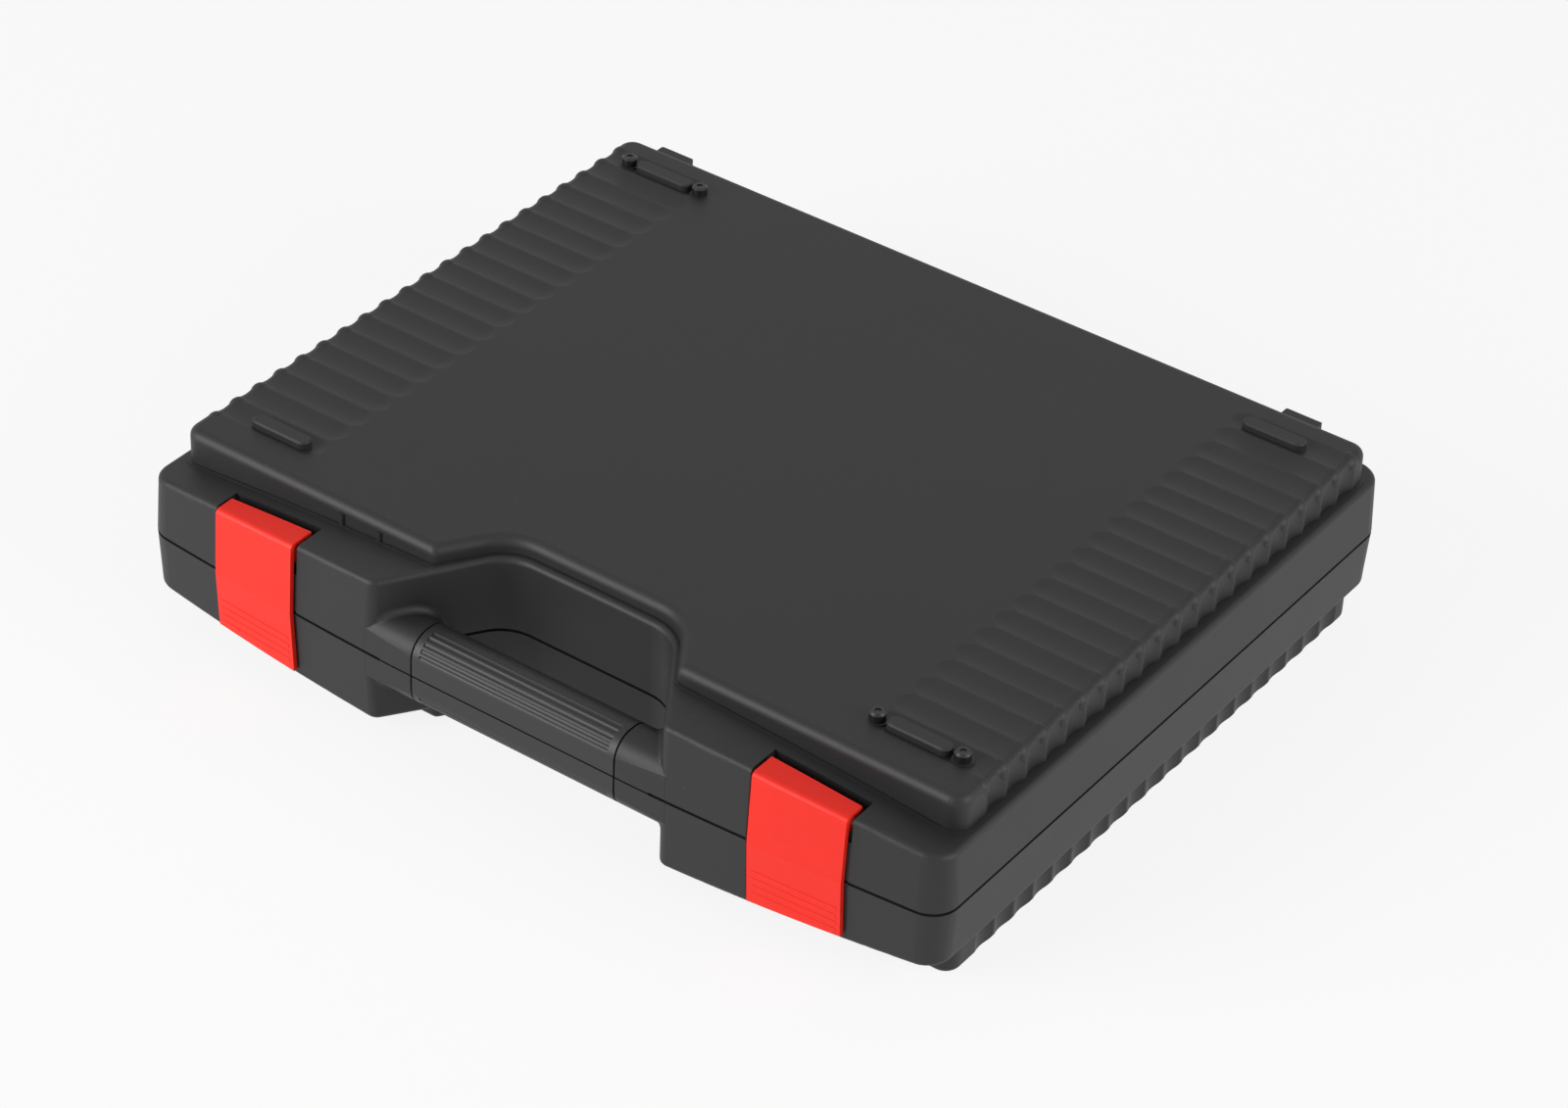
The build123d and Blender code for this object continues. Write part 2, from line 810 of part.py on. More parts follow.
def make_lid_leaf(plate):
    middle, left, right = hinge_sections()
    clear = knuckle_radius + knuckle_relief
    bore = knuckle(hinge_x - leaf_width, hinge_x + leaf_width, pin_radius + pin_clearance)
    with BuildPart() as leaf:
        add(plate)
        for low, high in (left, right):
            relief = boxed((low - knuckle_gap, rear_y - wall, parting - clear),
                           (high + knuckle_gap, hinge_y + clear, parting + clear))
            add(relief, mode=Mode.SUBTRACT)
        add(knuckle(*middle, knuckle_radius))
        add(web_between(*middle, web_points(1, web_height)))
        add(bore, mode=Mode.SUBTRACT)
        for hole in leaf_holes(parting + rivet_height):
            add(hole, mode=Mode.SUBTRACT)
    return leaf.part


def make_base_leaf(plate):
    """Right base leaf; its middle lug stops the lid."""
    middle, left, right = hinge_sections()
    clear = knuckle_radius + knuckle_relief
    turn = radians(lid_stop_angle)
    plate_y = -axis_behind_wall + leaf_gap + leaf_thickness / 2
    stop_face = knuckle_radius + stop_clearance
    inner_z = (plate_y * cos(turn) - stop_face) / sin(turn)
    outer_z = (knuckle_radius * cos(turn) - stop_face) / sin(turn)
    foot_y = plate_y - web_height * tan(radians(draft))
    lug = [(plate_y, inner_z), (knuckle_radius, outer_z), (knuckle_radius, outer_z - stop_land),
           (foot_y, -web_height)]
    bore = knuckle(hinge_x - leaf_width, hinge_x + leaf_width, pin_radius + seat_clearance)
    relief = boxed((middle[0] - knuckle_gap, rear_y - wall, parting - clear),
                   (middle[1] + knuckle_gap, hinge_y + clear, parting + clear))
    with BuildPart() as leaf:
        add(flipped(plate))
        add(relief, mode=Mode.SUBTRACT)
        for low, high in (left, right):
            add(knuckle(low, high, knuckle_radius))
            add(web_between(low, high, web_points(-1, outer_web_height)))
        add(web_between(*middle, lug))
        add(bore, mode=Mode.SUBTRACT)
        for hole in leaf_holes(parting - rivet_height):
            add(hole, mode=Mode.SUBTRACT)
    return leaf.part


def make_rivets(way):
    """Rivets of both leaves on one shell; way is 1 for the lid and -1 for the base."""
    lean = rivet_height * tan(radians(draft))
    seat = rivet_head_radius * tan(radians(draft))
    outer = leaf_gap + leaf_thickness - lean + seat
    inner = -wall - lean - seat
    z = parting + way * rivet_height
    with BuildPart() as rivets:
        for side in (-1, 1):
            for x in rivet_spots(side):
                add(rivet_bore(x, z, rivet_radius, inner, outer))
                add(rivet_bore(x, z, rivet_head_radius, outer, outer + rivet_head))
                add(rivet_bore(x, z, rivet_head_radius, inner - rivet_head, inner))
        heads = rivets.faces().filter_by(Axis.Y).group_by(Axis.Y)
        fillet(heads[-1].edges(), rivet_head / 2)
    return rivets.part


def pocket_outline(row, turn):
    """Knife pocket: a rounded place for the handle, a tapering one for the blade and a finger scoop."""
    _, middle_x, y, handle, grip_w, blade, heel, tip = row
    start = middle_x + turn * (handle - blade - pocket_overlap) / 2
    handle_x = start - turn * handle / 2
    with BuildSketch() as pocket:
        with Locations((handle_x, y)):
            RectangleRounded(handle, grip_w, handle_pocket_round)
            Circle(grip_w / 2 + finger_room)
        with BuildLine():
            Polyline(
                (start - turn * pocket_overlap, y + heel / 2),
                (start + turn * blade, y + heel / 2),
                (start + turn * blade, y + heel / 2 - tip),
                (start + turn * blade * blade_straight, y - heel / 2),
                (start - turn * pocket_overlap, y - heel / 2),
                close=True,
            )
        make_face()
    return pocket.sketch


def make_foam_insert():
    pockets = [pocket_outline(row, 1 if n % 2 == 0 else -1) for n, row in enumerate(pocket_rows)]
    with BuildPart() as foam:
        with BuildSketch(Plane.XY.offset(insert_bottom)):
            add(foam_outline())
        extrude(amount=insert_thickness)
        with BuildSketch(Plane.XY.offset(insert_bottom)):
            for pocket in pockets:
                add(pocket)
        extrude(amount=insert_thickness, mode=Mode.SUBTRACT)
    return foam.part


def foam_outline():
    """Outline of the foam sheets in the base."""
    with BuildSketch() as sheet:
        add(rim_outline(-foam_side_gap))
        add(recess_outline(wall + foam_recess_gap), mode=Mode.SUBTRACT)
    return sheet.sketch


def make_foam_floor():
    with BuildPart() as foam:
        with BuildSketch(Plane.XY.offset(floor_bottom)):
            add(foam_outline())
        extrude(amount=floor_sheet)
    return foam.part


def make_foam_backing():
    boss = 2 * (socket_clearance + socket_wall + foam_recess_gap)
    peg_span = 2 * peg_offset + peg_diameter
    low = wall + foam_clearance
    with BuildPart() as foam:
        with BuildSketch(Plane.XY.offset(low)):
            add(panel_outline(wall + foam_recess_gap, side_inset=well_side - wall))
        extrude(amount=floor_bottom - foam_clearance - low)
        with BuildSketch(Plane.XY.offset(low)):
            with Locations(*stack_spots()):
                SlotOverall(peg_span + boss, bar_width + boss)
        extrude(amount=socket_depth + socket_wall + foam_clearance - low, mode=Mode.SUBTRACT)
    return foam.part


def make_lid_foam():
    """Convoluted pad: a slab under the lid's panel with rows of blunt peaks that hold the knives down."""
    top = case_height - wall - foam_clearance
    root = top - lid_foam_slab
    tip = parting + lid_foam_gap
    first_x = -(crate_columns - 1) * crate_pitch / 2
    edge = wall + foam_recess_gap + crate_base_radius + crate_edge_gap
    first_y = panel_rear_y - edge - (crate_rows - 1) * crate_pitch
    notch_x = recess_front_half + crate_base_radius
    notch_y = recess_back_y + panel_notch_gap + edge - foam_recess_gap
    spots = [(first_x + i * crate_pitch, first_y + j * crate_pitch)
             for i in range(crate_columns) for j in range(crate_rows)]
    spots = [(x, y) for x, y in spots if abs(x) > notch_x or y > notch_y]
    with BuildPart() as foam:
        with BuildSketch(Plane.XY.offset(root)):
            add(panel_outline(wall + foam_recess_gap, side_inset=well_side - wall))
        extrude(amount=lid_foam_slab)
        with Locations(*[(x, y, (root + tip) / 2) for x, y in spots]):
            Cone(crate_tip_radius, crate_base_radius, root - tip)
    return foam.part


def write(piece, name):
    piece.label = name
    export_step(piece, f"parts/{name}.step")


pivot_y = front_at(latch_x) + pivot_behind_front
pivot_z = ledge_at(latch_x) - pivot_below_ledge

os.makedirs("parts", exist_ok=True)
write(make_lid_shell(), "lid_shell")
write(make_base_shell(), "base_shell")
grip = make_grip()
write(grip, "grip_upper")
write(flipped(grip), "grip_lower")
latch = make_latch()
latch_pin_bar = latch_pin(latch_width + 2 * pocket_side_gap + 2 * pin_seat - pin_clearance, pin_radius)
leaf = leaf_plate()
lid_leaf = make_lid_leaf(leaf)
base_leaf = make_base_leaf(leaf)
hinge_pin = knuckle(hinge_x - leaf_width / 2, hinge_x + leaf_width / 2, pin_radius)
for name, piece in (("latch", latch), ("latch_pin", latch_pin_bar), ("hinge_leaf_lid", lid_leaf),
                    ("hinge_leaf_base", base_leaf), ("hinge_pin", hinge_pin)):
    write(piece, f"{name}_right")
    write(piece.mirror(Plane.YZ), f"{name}_left")
write(make_rivets(1), "hinge_rivets_lid")
write(make_rivets(-1), "hinge_rivets_base")
peg = stacking_peg()
for n, (x, y) in enumerate(peg_spots()):
    write(peg.moved(Location((x, y, case_height))), f"stacking_peg_{n + 1}")
write(make_foam_insert(), "foam_insert")
write(make_foam_floor(), "foam_floor")
write(make_foam_backing(), "foam_backing")
write(make_lid_foam(), "lid_foam")
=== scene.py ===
from math import cos, pi, radians, sin

import bmesh
import bpy
from bpy.props import FloatProperty, FloatVectorProperty, PointerProperty
from mathutils import Matrix, Vector


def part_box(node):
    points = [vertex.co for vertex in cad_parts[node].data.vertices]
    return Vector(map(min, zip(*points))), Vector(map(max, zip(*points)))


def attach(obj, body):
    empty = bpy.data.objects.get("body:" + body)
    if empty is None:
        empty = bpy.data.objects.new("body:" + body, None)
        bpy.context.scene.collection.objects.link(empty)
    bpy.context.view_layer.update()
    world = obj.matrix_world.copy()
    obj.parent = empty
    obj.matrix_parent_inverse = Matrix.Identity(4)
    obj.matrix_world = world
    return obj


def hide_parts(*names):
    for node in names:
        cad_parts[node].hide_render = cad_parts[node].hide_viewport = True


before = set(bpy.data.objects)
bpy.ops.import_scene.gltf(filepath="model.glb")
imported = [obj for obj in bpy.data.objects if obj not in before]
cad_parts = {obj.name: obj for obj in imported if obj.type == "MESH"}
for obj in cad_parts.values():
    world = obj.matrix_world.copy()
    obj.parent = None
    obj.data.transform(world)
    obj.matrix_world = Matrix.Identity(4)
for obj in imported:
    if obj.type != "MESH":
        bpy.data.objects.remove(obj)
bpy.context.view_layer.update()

bl_info = {
    "name": "Moulded knife case",
    "version": (1, 0, 0),
    "blender": (4, 5, 0),
    "location": "3D View > Sidebar > Knife case",
    "description": "Dresses the knife case's shells, latches, grip, hinges and foam, and sets the studio",
    "category": "Object",
}

MM = 0.001
LEFT_AND_RIGHT = ("left", "right")

# Widths of the marks in the finishes, and depths of their bumps
SHELL_PATCH = 55 * MM
SHELL_SCUFF = 6 * MM
SHELL_SPECK_CELL = 17 * MM
GRIP_GRAIN = 0.5 * MM
GRIP_PATCH = 22 * MM
LATCH_GRAIN = 0.8 * MM
LATCH_FLOW = 14 * MM
LATCH_FLOW_DEPTH = 0.05 * MM
PEG_SMUDGE = 4 * MM
PEG_SMUDGE_DEPTH = 0.03 * MM
HINGE_GRAIN = 0.5 * MM
HINGE_WEAR = 9 * MM
STEEL_WAVE_SCALE = 900.0  # gives lines about 0.35 mm apart
STEEL_LINE_DEPTH = 0.008 * MM
STEEL_DULL = 3 * MM
FOAM_CLOUD = 70 * MM

# Editing and shading of the meshes that are made here
WELD_DISTANCE = 0.01 * MM  # corners nearer than this are joined
FLAT_ANGLE = radians(1)  # faces that meet at less than this are one flat
LEVEL_SLACK = 0.1 * MM  # faces nearer to a height than this count as lying at it
CUT_ANGLE = radians(50)  # edges sharper than this are rounded
CUT_STEPS = 4  # facets round a cut edge
SMOOTH_ANGLE = radians(35)  # edges gentler than this shade smoothly
FLAT_AREA = 1.5e-4  # square metres, above which a face is shaded flat
PEAK_OVERLAP = 0.4 * MM  # how far the peaks begin inside the slab
PEAK_POWER = 1.5  # more makes the peaks thinner

# Rounds where the handle's arms meet the body
ARM_FRONT_TURN = 45  # degrees forward of straight up, where a round begins on the front corner
ARM_BACK_TURN = 90  # degrees back from straight up, where the rear corner ends
ARM_TURN_STEP = 5  # degrees between two sections
ARM_FADE_SECTIONS = 3  # sections over which a round grows to its full radius
ARM_ROUND_STEPS = 8  # facets across a round
REVEAL_HALF = 0.8 * MM  # half the groove along the parting line
ROOT_SINK = 0.4 * MM  # how far a round's closed side lies inside the body

# Camera, read off the photograph's outline of the case: place in metres, focal length in its pixels
PHOTO_WIDTH = 1600
PHOTO_FOCAL = 4735.9
SENSOR_WIDTH = 36.0
CAMERA_PLACE = (0.88259, -1.27419, 1.16378)
CAMERA_TURN = radians(34.493)
CAMERA_TILT = radians(36.220)
CAMERA_ROLL = radians(2.725)
CLIP_START = 0.05

# Studio: each softbox has a name, a turn to the right of the front and a rise in degrees, and its width
AIM_HEIGHT = 0.04
LAMP_DISTANCE = 2.2
SOFTBOXES = (("front", -30, 20, 1.5), ("side", 95, 20, 1.5), ("top", 200, 68, 1.8))
FLOOR_SIDES = 96
FLOOR_FADE = (0.45, 0.9)  # shares of the floor's radius between which it fades out
FLOOR_PAPER = (0.9, 0.9, 0.9, 1.0)
FLOOR_GLOW = 0.86  # share of plain white that the camera and reflections see on the floor
WHITE = (1.0, 1.0, 1.0, 1.0)
ROOM_GREY = (0.8, 0.8, 0.8, 1.0)


class Channel:
    """One output of a shader node. Arithmetic on it adds Math nodes."""

    def __init__(self, recipe, socket):
        self.recipe = recipe
        self.socket = socket

    def maths(self, operation, *values):
        return self.recipe.node("ShaderNodeMath", {"operation": operation}, values)

    def __add__(self, other):
        return self.maths("ADD", self, other)

    def __radd__(self, other):
        return self.maths("ADD", other, self)

    def __sub__(self, other):
        return self.maths("SUBTRACT", self, other)

    def __rsub__(self, other):
        return self.maths("SUBTRACT", other, self)

    def __mul__(self, other):
        return self.maths("MULTIPLY", self, other)

    def __rmul__(self, other):
        return self.maths("MULTIPLY", other, self)

    def larger(self, other):
        return self.maths("MAXIMUM", self, other)


class Recipe:
    """Node tree of one finish, or of the room."""

    def __init__(self, name="", tree=None):
        if tree is None:
            self.material = bpy.data.materials.new(name)
            self.material.use_nodes = True
            tree = self.material.node_tree
        self.tree = tree
        self.tree.nodes.clear()

    def node(self, kind, settings=None, values=(), output=0):
        """Adds a node and gives the output asked for.

        Settings go first, then values by the sockets' order or, in a dict, by the sockets' names or numbers.
        """
        made = self.tree.nodes.new(kind)
        for name, setting in (settings or {}).items():
            setattr(made, name, setting)
        pairs = values.items() if isinstance(values, dict) else enumerate(values)
        for key, value in pairs:
            if isinstance(value, Channel):
                self.tree.links.new(value.socket, made.inputs[key])
            else:
                made.inputs[key].default_value = value
        return Channel(self, made.outputs[output]) if made.outputs else None

    def place(self):
        """Position on the piece, in metres, which stays with the piece as it moves."""
        return self.node("ShaderNodeTexCoord", output="Object")

    def noise(self, size, detail=2.0, roughness=0.5):
        """Cloudy noise from 0 to 1, whose blobs are about size across."""
        values = {"Vector": self.place(), "Scale": 1.0 / size, "Detail": detail, "Roughness": roughness}
        return self.node("ShaderNodeTexNoise", None, values)

    def cells(self, size):
        """Distance to the nearest of many scattered points, in cells that are size across."""
        return self.node("ShaderNodeTexVoronoi", None, {"Vector": self.place(), "Scale": 1.0 / size})

    def step(self, value, low, high):
        """Smooth step from 0 where the value is at low to 1 where it is at high. Low may be the larger."""
        settings = {"interpolation_type": "SMOOTHSTEP"}
        return self.node("ShaderNodeMapRange", settings, {0: value, 1: low, 2: high})

    def blend(self, share, first, second):
        """Mix of two colours, with that share of the second."""
        settings = {"data_type": "RGBA"}
        return self.node("ShaderNodeMix", settings, {0: share, 6: first, 7: second}, output=2)

    def bump(self, height, depth, below=None):
        """Bump of that depth in metres, over another normal where one is given."""
        values = {"Height": height, "Distance": depth, "Strength": 1.0}
        if below is not None:
            values["Normal"] = below
        return self.node("ShaderNodeBump", None, values)

    def rays_that_see(self):
        """1 for the camera's rays and for mirrored and transmitted ones, 0 for the rest."""
        camera, mirrored, transmitted = (self.node("ShaderNodeLightPath", output=f"Is {kind} Ray")
                                         for kind in ("Camera", "Glossy", "Transmission"))
        return camera.larger(mirrored.larger(transmitted))

    def finish(self, **sockets):
        """Principled shader with those sockets, whose names use _ for a space."""
        values = {name.replace("_", " "): value for name, value in sockets.items()}
        shader = self.node("ShaderNodeBsdfPrincipled", None, values)
        self.node("ShaderNodeOutputMaterial", None, {"Surface": shader})
        return self.material


def shade(colour, amount):
    """The colour made lighter or darker by a factor, as an opaque one."""
    return (colour[0] * amount, colour[1] * amount, colour[2] * amount, 1.0)


def colour_prop(name, description, default):
    return FloatVectorProperty(name=name, description=description, default=default, subtype="COLOR",
                               size=3, min=0.0, max=1.0)


def length_prop(name, description, default):
    return FloatProperty(name=name, description=description, default=default, min=0.0, unit="LENGTH",
                         subtype="DISTANCE", precision=5)


def power_prop(name, description, default):
    return FloatProperty(name=name, description=description, default=default, min=0.0, unit="POWER")


class CaseColours(bpy.types.PropertyGroup):
    """Colours of the case's materials."""

    shell: colour_prop("Shells", "Moulded plastic of the lid and base", (0.0155, 0.0155, 0.016))
    grip: colour_prop("Grip", "Soft cover on the handle", (0.015, 0.015, 0.0155))
    latch: colour_prop("Latches", "Moulded plastic of the two latches", (0.88, 0.019, 0.007))
    peg: colour_prop("Pegs", "Stacking pegs", (0.008, 0.008, 0.009))
    hinge: colour_prop("Hinge leaves", "Moulded plastic of the hinge leaves", (0.014, 0.014, 0.0145))
    steel: colour_prop("Steel", "Pins and rivets", (0.62, 0.61, 0.6))
    foam_dark: colour_prop("Cut foam", "Foam with the knife pockets, and the block under the floor",
                           (0.05, 0.05, 0.054))
    foam_light: colour_prop("Peaked foam", "Foam of the lid and of the pocket floor", (0.13, 0.13, 0.135))


class CaseGrain(bpy.types.PropertyGroup):
    """Sizes of the surface texture."""

    shell_size: length_prop("Shell grain", "Width of the shells' moulded grain", 0.7 * MM)
    shell_depth: length_prop("Shell grain depth", "Depth of the shells' moulded grain", 0.03 * MM)
    ripple_size: length_prop("Ripple", "Width of the slow ripple that moulding leaves", 38 * MM)
    ripple_depth: length_prop("Ripple depth", "Depth of the slow ripple", 0.12 * MM)
    foam_cell: length_prop("Foam cell", "Width of the cells in the foam", 0.9 * MM)
    foam_depth: length_prop("Foam cell depth", "Depth of the cells in the foam", 0.35 * MM)


class CaseHandle(bpy.types.PropertyGroup):
    """Sizes of the rounds where the handle's arms meet the body."""

    root_round: length_prop("Root round", "Radius of the round between an arm and the body", 3.2 * MM)
    arm_corner: length_prop("Arm corner", "Corner radius of the handle's section", 10 * MM)
    opening_half: length_prop("Opening", "Half width of the finger opening at the handle's axis", 65.46 * MM)
    opening_flare: FloatProperty(name="Flare", description="How fast the opening widens to the front",
                                 default=0.6585, min=0.0)


class CaseFoam(bpy.types.PropertyGroup):
    """Sizes of the foam pieces."""

    edge_round: length_prop("Edge round", "Rounding of the foam's cut edges", 1.2 * MM)
    peak_pitch: length_prop("Peak pitch", "Distance between the peaks of the lid's foam", 31 * MM)
    peak_step: length_prop("Peak step", "Length of a facet on the peaks", 1.9 * MM)
    slab: length_prop("Slab", "Thickness of the lid's foam behind its peaks", 16 * MM)


class CaseStudio(bpy.types.PropertyGroup):
    """Light and floor."""

    floor_radius: length_prop("Floor radius", "Radius of the pale floor", 3.0)
    front_power: power_prop("Front light", "Power of the softbox at the front left", 42.0)
    side_power: power_prop("Side light", "Power of the softbox at the right", 26.0)
    top_power: power_prop("Top light", "Power of the softbox high behind the case", 1.8)
    sky: FloatProperty(name="Room light", description="Level of the even light from all round",
                       default=0.30, min=0.0)


def moulded_shell(colour, grain):
    """Dark plastic with a fine matt grain, slow ripples, faint scuffs and a few pale specks."""
    recipe = Recipe("shell_plastic")
    fine = recipe.noise(grain.shell_size, detail=3.0, roughness=0.6)
    ripple = recipe.noise(grain.ripple_size, detail=1.0)
    patch = recipe.noise(SHELL_PATCH, detail=3.0, roughness=0.55)
    scuff = recipe.step(recipe.noise(SHELL_SCUFF, detail=6.0, roughness=0.75), low=0.6, high=0.74)
    speck = recipe.step(recipe.cells(SHELL_SPECK_CELL), low=0.022, high=0.014)
    tone = recipe.blend(patch, shade(colour, 0.93), shade(colour, 1.08))
    tone = recipe.blend(fine * 0.5, tone, shade(colour, 1.16))
    tone = recipe.blend(speck * 0.55, tone, shade(colour, 5.0))
    waves = recipe.bump(ripple, grain.ripple_depth)
    surface = recipe.bump(fine, grain.shell_depth, waves)
    dullness = 0.46 + patch * 0.06 - scuff * 0.04 + fine * 0.04
    return recipe.finish(Base_Color=tone, Roughness=dullness, Normal=surface, IOR=1.42)


def fluted_grip(colour, grain):
    """Soft plastic, a little smoother than the shells."""
    recipe = Recipe("grip_rubber")
    fine = recipe.noise(GRIP_GRAIN, detail=3.0, roughness=0.6)
    patch = recipe.noise(GRIP_PATCH, detail=3.0)
    tone = recipe.blend(patch, shade(colour, 0.94), shade(colour, 1.1))
    surface = recipe.bump(fine, grain.shell_depth * 0.8)
    return recipe.finish(Base_Color=tone, Roughness=0.44 + patch * 0.08, Normal=surface, IOR=1.48)


def red_latch(colour, grain):
    """Bright moulded plastic with a low sheen and slight flow marks."""
    recipe = Recipe("latch_plastic")
    fine = recipe.noise(LATCH_GRAIN)
    flow = recipe.noise(LATCH_FLOW, detail=3.0, roughness=0.6)
    tone = recipe.blend(flow, shade(colour, 0.965), shade(colour, 1.02))
    surface = recipe.bump(fine, grain.shell_depth * 0.5, recipe.bump(flow, LATCH_FLOW_DEPTH))
    return recipe.finish(Base_Color=tone, Roughness=0.42 + flow * 0.08, Normal=surface, IOR=1.42)


def smooth_peg(colour):
    """Smooth dark plug, glossier than the shells."""
    recipe = Recipe("peg_rubber")
    smudge = recipe.noise(PEG_SMUDGE, detail=4.0)
    tone = recipe.blend(smudge, shade(colour, 0.85), shade(colour, 1.25))
    surface = recipe.bump(smudge, PEG_SMUDGE_DEPTH)
    return recipe.finish(Base_Color=tone, Roughness=0.27 + smudge * 0.12, Normal=surface, IOR=1.5)


def hinge_plastic(colour, grain):
    """Tough black plastic with worn, slightly paler patches."""
    recipe = Recipe("hinge_plastic")
    fine = recipe.noise(HINGE_GRAIN, detail=3.0)
    wear = recipe.step(recipe.noise(HINGE_WEAR, detail=5.0, roughness=0.7), low=0.5, high=0.72)
    tone = recipe.blend(wear * 0.5, shade(colour, 1.0), shade(colour, 1.8))
    surface = recipe.bump(fine, grain.shell_depth * 0.6)
    return recipe.finish(Base_Color=tone, Roughness=0.4 + wear * 0.12, Normal=surface, IOR=1.5)


def turned_steel(colour):
    """Bright steel with fine turning lines and dull patches."""
    recipe = Recipe("steel")
    waves = {"Vector": recipe.place(), "Scale": STEEL_WAVE_SCALE, "Distortion": 2.0, "Detail": 2.0}
    lines = recipe.node("ShaderNodeTexWave", {"bands_direction": "X"}, waves)
    dull = recipe.noise(STEEL_DULL, detail=5.0, roughness=0.65)
    tone = recipe.blend(dull, shade(colour, 0.8), shade(colour, 1.05))
    surface = recipe.bump(lines, STEEL_LINE_DEPTH)
    return recipe.finish(Base_Color=tone, Roughness=0.22 + dull * 0.2, Normal=surface, Metallic=1.0)


def open_cell_foam(name, colour, grain):
    """Soft foam with open cells, slightly uneven in tone, with painted shade in its pores."""
    recipe = Recipe(name)
    pores = recipe.cells(grain.foam_cell)
    crumbs = recipe.noise(grain.foam_cell * 2.6, detail=4.0, roughness=0.65)
    cloud = recipe.noise(FOAM_CLOUD)
    # Mask of the pores' middles, where shade is painted into the foam's colour
    pore_shade = recipe.step(pores, low=0.62, high=0.2)
    tone = recipe.blend(cloud, shade(colour, 0.88), shade(colour, 1.12))
    tone = recipe.blend(crumbs * 0.45, tone, shade(colour, 1.5))
    # Painted shade: the pores darkened to a third of the foam's tone
    tone = recipe.blend(pore_shade * 0.5, tone, shade(colour, 0.35))
    surface = recipe.bump(pores + crumbs * 0.6, grain.foam_depth)
    return recipe.finish(Base_Color=tone, Roughness=0.93, Normal=surface, IOR=1.3, Sheen_Weight=0.25)


def dress(material, *names):
    """Gives those CAD nodes one finish."""
    for name in names:
        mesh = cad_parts[name].data
        mesh.materials.clear()
        mesh.materials.append(material)


def linked_piece(name, mesh, material):
    """A new object for a mesh, in the scene's own collection."""
    mesh.materials.append(material)
    piece = bpy.data.objects.new(name, mesh)
    bpy.context.scene.collection.objects.link(piece)
    return piece


def foam_piece(name, mesh, material, node, body):
    """A foam piece that stands for a CAD node and moves with its body."""
    piece = linked_piece(name, mesh, material)
    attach(piece, body)
    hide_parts(node)


def node_shape(node):
    """Editable copy of a CAD node with its flat faces joined up."""
    shape = bmesh.new()
    shape.from_mesh(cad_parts[node].data)
    bmesh.ops.remove_doubles(shape, verts=shape.verts, dist=WELD_DISTANCE)
    bmesh.ops.dissolve_limit(shape, angle_limit=FLAT_ANGLE, verts=shape.verts, edges=shape.edges)
    return shape


def round_edges(shape, radius):
    """Rounds the cut edges between a sheet's flats and its sides."""
    sharp = [edge for edge in shape.edges if edge.is_manifold and edge.calc_face_angle() > CUT_ANGLE]
    bmesh.ops.bevel(shape, geom=sharp, offset=radius, offset_type="OFFSET", segments=CUT_STEPS, profile=0.5,
                    affect="EDGES", clamp_overlap=True)


def finished_mesh(shape, name):
    """Turns an edited shape into a mesh that shades smoothly over gentle edges and flat on large faces."""
    for face in shape.faces:
        face.smooth = face.calc_area() < FLAT_AREA
    for edge in shape.edges:
        if edge.is_manifold:
            edge.smooth = edge.calc_face_angle() < SMOOTH_ANGLE
    mesh = bpy.data.meshes.new(name)
    shape.to_mesh(mesh)
    shape.free()
    return mesh


def sheet_mesh(node, name, edge_round):
    """Foam sheet in the outline of a CAD node, with its cut edges rounded."""
    shape = node_shape(node)
    round_edges(shape, edge_round)
    return finished_mesh(shape, name)


def top_face_slab(node, thickness, edge_round):
    """Slab below a CAD node's flat top, with its cut edges rounded."""
    shape = node_shape(node)
    top = max(vertex.co.z for vertex in shape.verts)
    others = [face for face in shape.faces if face.calc_center_median().z < top - LEVEL_SLACK]
    bmesh.ops.delete(shape, geom=others, context="FACES")
    made = bmesh.ops.extrude_face_region(shape, geom=list(shape.faces))
    moved = [item for item in made["geom"] if isinstance(item, bmesh.types.BMVert)]
    bmesh.ops.translate(shape, verts=moved, vec=(0, 0, -thickness))
    bmesh.ops.recalc_face_normals(shape, faces=shape.faces)
    round_edges(shape, edge_round)
    return shape


def peak_spots(node):
    """Centres of a CAD node's peaks, to a tenth of a millimetre, found from its lowest flats."""
    shape = node_shape(node)
    low = min(vertex.co.z for vertex in shape.verts)
    centres = [face.calc_center_median() for face in shape.faces]
    shape.free()
    return [(round(spot.x, 4), round(spot.y, 4)) for spot in centres if abs(spot.z - low) < LEVEL_SLACK]


def add_peaks(shape, spots, root, tip, pitch, step):
    """Rows of soft peaks that hang from root down to tip, one square of foam for each spot."""
    count = round(pitch / step)
    start = root + PEAK_OVERLAP
    corners = {}

    def corner(x, y, depth):
        """Corner of a facet, which neighbouring squares share."""
        key = (round(x / MM, 2), round(y / MM, 2))
        if key not in corners:
            corners[key] = shape.verts.new((x, y, start - depth))
        return corners[key]

    for spot_x, spot_y in spots:
        rows = []
        for i in range(count + 1):
            row = []
            for j in range(count + 1):
                u = (i / count - 0.5) * pitch
                v = (j / count - 0.5) * pitch
                inside = 0 < i < count and 0 < j < count
                swell = (cos(pi * u / pitch) * cos(pi * v / pitch)) ** PEAK_POWER if inside else 0.0
                row.append(corner(spot_x + u, spot_y + v, swell * (start - tip)))
            rows.append(row)
        for i in range(count):
            for j in range(count):
                quad = (rows[i][j], rows[i][j + 1], rows[i + 1][j + 1], rows[i + 1][j])
                if shape.faces.get(quad) is None:
                    shape.faces.new(quad)


